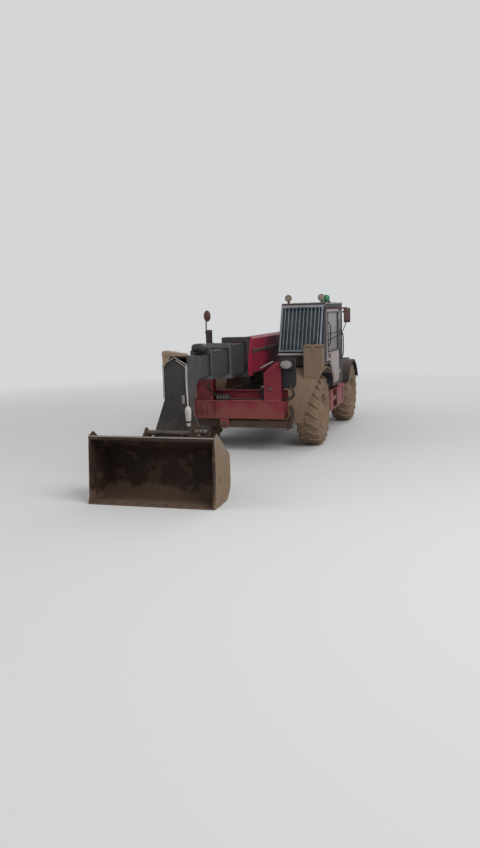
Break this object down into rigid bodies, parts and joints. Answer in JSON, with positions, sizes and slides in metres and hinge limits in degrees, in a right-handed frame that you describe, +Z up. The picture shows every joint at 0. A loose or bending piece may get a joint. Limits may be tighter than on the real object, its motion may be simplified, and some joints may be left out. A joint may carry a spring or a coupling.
{
  "type": "telehandler",
  "caption": "Telescopic handler with a long sectional boom, earth bucket on a quick hitch, swing-down front stabilizers, side cab and four-wheel steering",
  "frame": {"origin": "on the ground under the middle of the whole machine, bucket to tail and mirror to mirror", "axes": "+X forward towards the bucket, +Y to the driver's left, +Z up"},
  "size_m": [9.1, 3.082, 2.648],
  "materials": {
    "black_plastic": "dusty matte plastic",
    "bucket_steel": "rust and dried mud over worn paint",
    "cab_grey": "dusty satin paint",
    "chassis_black": "dusty satin paint",
    "console_plastic": "grained",
    "cylinder_paint": "worn satin paint",
    "dark_paint": "worn satin paint",
    "engine_iron": "raw casting",
    "guard_bars": "worn satin paint",
    "head_grey": "worn satin paint",
    "hood_paint": "dusty",
    "lamp_lens": "clear lens",
    "mirror_plastic": "dusty",
    "red_paint": "worn satin paint",
    "rim_paint": "dusty satin paint",
    "rod_chrome": "polished",
    "seat_cover": "woven",
    "tyre_rubber": "dusty rubber",
    "weight_iron": "painted casting",
    "window_glass": "clear"
  },
  "bodies": {
    "chassis": {"chassis_frame": "red_paint", "counterweight": "weight_iron", "front_axle": "chassis_black", "rear_axle": "chassis_black", "stabilizer_beam": "red_paint", "front_fender_left": "black_plastic", "front_fender_right": "black_plastic", "cab_shell": "cab_grey", "cab_glass": "window_glass", "screen_guard": "guard_bars", "side_tank": "red_paint", "engine_block": "engine_iron", "driver_seat": "seat_cover", "steering_console": "console_plastic", "lamps": "lamp_lens", "mirror_left": "mirror_plastic"},
    "boom_1": {"boom_section_1": "red_paint"},
    "boom_2": {"boom_section_2": "dark_paint"},
    "boom_3": {"boom_section_3": "dark_paint"},
    "boom_4": {"boom_section_4": "head_grey"},
    "bucket_tool": {"quick_hitch": "head_grey", "bucket": "bucket_steel"},
    "lift_barrel": {"lift_cylinder": "cylinder_paint"},
    "lift_rod": {"lift_rod_bar": "rod_chrome"},
    "tilt_barrel": {"tilt_cylinder": "cylinder_paint"},
    "tilt_rod": {"tilt_rod_bar": "rod_chrome"},
    "leg_left": {"stabilizer_leg_left": "red_paint"},
    "leg_right": {"stabilizer_leg_right": "red_paint"},
    "leg_barrel_left": {"stabilizer_cylinder_left": "cylinder_paint"},
    "leg_barrel_right": {"stabilizer_cylinder_right": "cylinder_paint"},
    "leg_rod_left": {"stabilizer_rod_left": "rod_chrome"},
    "leg_rod_right": {"stabilizer_rod_right": "rod_chrome"},
    "door": {"cab_door": "cab_grey", "door_glass": "window_glass"},
    "hood": {"engine_hood": "hood_paint", "mirror_right": "mirror_plastic"},
    "knuckle_front_left": {"knuckle_front_left": "chassis_black"},
    "wheel_front_left": {"tyre_front_left": "tyre_rubber", "rim_front_left": "rim_paint"},
    "knuckle_front_right": {"knuckle_front_right": "chassis_black"},
    "wheel_front_right": {"tyre_front_right": "tyre_rubber", "rim_front_right": "rim_paint"},
    "knuckle_rear_left": {"knuckle_rear_left": "chassis_black", "rear_fender_left": "black_plastic"},
    "wheel_rear_left": {"tyre_rear_left": "tyre_rubber", "rim_rear_left": "rim_paint"},
    "knuckle_rear_right": {"knuckle_rear_right": "chassis_black", "rear_fender_right": "black_plastic"},
    "wheel_rear_right": {"tyre_rear_right": "tyre_rubber", "rim_rear_right": "rim_paint"}
  },
  "joints": [
    {"name": "steer_front_left", "type": "hinge", "parent": "chassis", "child": "knuckle_front_left", "pos_m": [-0.31, 0.722, 0.625], "axis": [0, 0, 1], "range_deg": [-35, 35]},
    {"name": "spin_front_left", "type": "hinge", "parent": "knuckle_front_left", "child": "wheel_front_left", "pos_m": [-0.31, 0.902, 0.625], "axis": [0, 1, 0], "continuous": true},
    {"name": "steer_front_right", "type": "hinge", "parent": "chassis", "child": "knuckle_front_right", "pos_m": [-0.31, -0.938, 0.625], "axis": [0, 0, 1], "range_deg": [-35, 35]},
    {"name": "spin_front_right", "type": "hinge", "parent": "knuckle_front_right", "child": "wheel_front_right", "pos_m": [-0.31, -1.118, 0.625], "axis": [0, 1, 0], "continuous": true},
    {"name": "steer_rear_left", "type": "hinge", "parent": "chassis", "child": "knuckle_rear_left", "pos_m": [-3.38, 0.722, 0.625], "axis": [0, 0, 1], "range_deg": [-35, 35]},
    {"name": "spin_rear_left", "type": "hinge", "parent": "knuckle_rear_left", "child": "wheel_rear_left", "pos_m": [-3.38, 0.902, 0.625], "axis": [0, 1, 0], "continuous": true},
    {"name": "steer_rear_right", "type": "hinge", "parent": "chassis", "child": "knuckle_rear_right", "pos_m": [-3.38, -0.938, 0.625], "axis": [0, 0, 1], "range_deg": [-35, 35]},
    {"name": "spin_rear_right", "type": "hinge", "parent": "knuckle_rear_right", "child": "wheel_rear_right", "pos_m": [-3.38, -1.118, 0.625], "axis": [0, 1, 0], "continuous": true},
    {"name": "boom_lift", "type": "hinge", "parent": "chassis", "child": "boom_1", "pos_m": [-4.03, -0.168, 1.75], "axis": [0, -1, 0], "range_deg": [0, 70]},
    {"name": "boom_extend", "type": "slide", "parent": "boom_1", "child": "boom_2", "axis": [1, 0, 0], "range_m": [-0.57, 2.65]},
    {"name": "boom_extend_3", "type": "slide", "parent": "boom_2", "child": "boom_3", "axis": [1, 0, 0], "range_m": [-0.57, 2.65]},
    {"name": "boom_extend_4", "type": "slide", "parent": "boom_3", "child": "boom_4", "axis": [1, 0, 0], "range_m": [-0.57, 2.65]},
    {"name": "lift_cylinder_swing", "type": "hinge", "parent": "chassis", "child": "lift_barrel", "pos_m": [-3.66, -0.168, 0.96], "axis": [0, -1, 0], "range_deg": [0, 62.13]},
    {"name": "lift_rod_slide", "type": "slide", "parent": "lift_barrel", "child": "lift_rod", "axis": [0.9812, 0, 0.1932], "range_m": [0, 0.961]},
    {"name": "bucket_tilt", "type": "hinge", "parent": "boom_4", "child": "bucket_tool", "pos_m": [3.6, -0.168, 0.4], "axis": [0, 1, 0], "range_deg": [-15, 85]},
    {"name": "tilt_cylinder_swing", "type": "hinge", "parent": "boom_4", "child": "tilt_barrel", "pos_m": [3.3, -0.168, 1.385], "axis": [0, 1, 0], "range_deg": [-1.31, 0.31]},
    {"name": "tilt_rod_slide", "type": "slide", "parent": "tilt_barrel", "child": "tilt_rod", "axis": [0.0468, 0, -0.9989], "range_m": [-0.4011, 0.0724]},
    {"name": "stabilizer_left", "type": "hinge", "parent": "chassis", "child": "leg_left", "pos_m": [0.69, -0.408, 0.5], "axis": [-1, 0, 0], "range_deg": [0, 28]},
    {"name": "stabilizer_cylinder_swing_left", "type": "hinge", "parent": "chassis", "child": "leg_barrel_left", "pos_m": [0.69, 0.477, 1.42], "axis": [-1, 0, 0], "range_deg": [-2.15, 0.05]},
    {"name": "stabilizer_rod_slide_left", "type": "slide", "parent": "leg_barrel_left", "child": "leg_rod_left", "axis": [0, -0.2211, -0.9753], "range_m": [0, 0.3425]},
    {"name": "stabilizer_right", "type": "hinge", "parent": "chassis", "child": "leg_right", "pos_m": [0.55, 0.072, 0.5], "axis": [1, 0, 0], "range_deg": [0, 28]},
    {"name": "stabilizer_cylinder_swing_right", "type": "hinge", "parent": "chassis", "child": "leg_barrel_right", "pos_m": [0.55, -0.813, 1.42], "axis": [1, 0, 0], "range_deg": [-2.15, 0.05]},
    {"name": "stabilizer_rod_slide_right", "type": "slide", "parent": "leg_barrel_right", "child": "leg_rod_right", "axis": [0, 0.2211, -0.9753], "range_m": [0, 0.3425]},
    {"name": "cab_door_hinge", "type": "hinge", "parent": "chassis", "child": "door", "pos_m": [-1.762, 1.126, 1.67], "axis": [0, 0, 1], "range_deg": [0, 90]},
    {"name": "hood_hinge", "type": "hinge", "parent": "chassis", "child": "hood", "pos_m": [-1.81, -0.471, 1.701], "axis": [-1, 0, 0], "range_deg": [0, 60]}
  ],
  "couplings": [
    {"joint": "steer_front_right", "follows": "steer_front_left", "ratio": 1},
    {"joint": "steer_rear_right", "follows": "steer_rear_left", "ratio": 1},
    {"joint": "boom_extend_3", "follows": "boom_extend", "ratio": 1},
    {"joint": "boom_extend_4", "follows": "boom_extend", "ratio": 1},
    {"joint": "lift_cylinder_swing", "follows": "boom_lift", "ratio": 0.88607},
    {"joint": "lift_rod_slide", "follows": "boom_lift", "m_per_rad": 0.78499},
    {"joint": "tilt_cylinder_swing", "follows": "bucket_tilt", "ratio": -0.01421},
    {"joint": "tilt_rod_slide", "follows": "bucket_tilt", "m_per_rad": -0.26905},
    {"joint": "stabilizer_cylinder_swing_left", "follows": "stabilizer_left", "ratio": -0.07487},
    {"joint": "stabilizer_rod_slide_left", "follows": "stabilizer_left", "m_per_rad": 0.69671},
    {"joint": "stabilizer_cylinder_swing_right", "follows": "stabilizer_right", "ratio": -0.07487},
    {"joint": "stabilizer_rod_slide_right", "follows": "stabilizer_right", "m_per_rad": 0.69671}
  ]
}
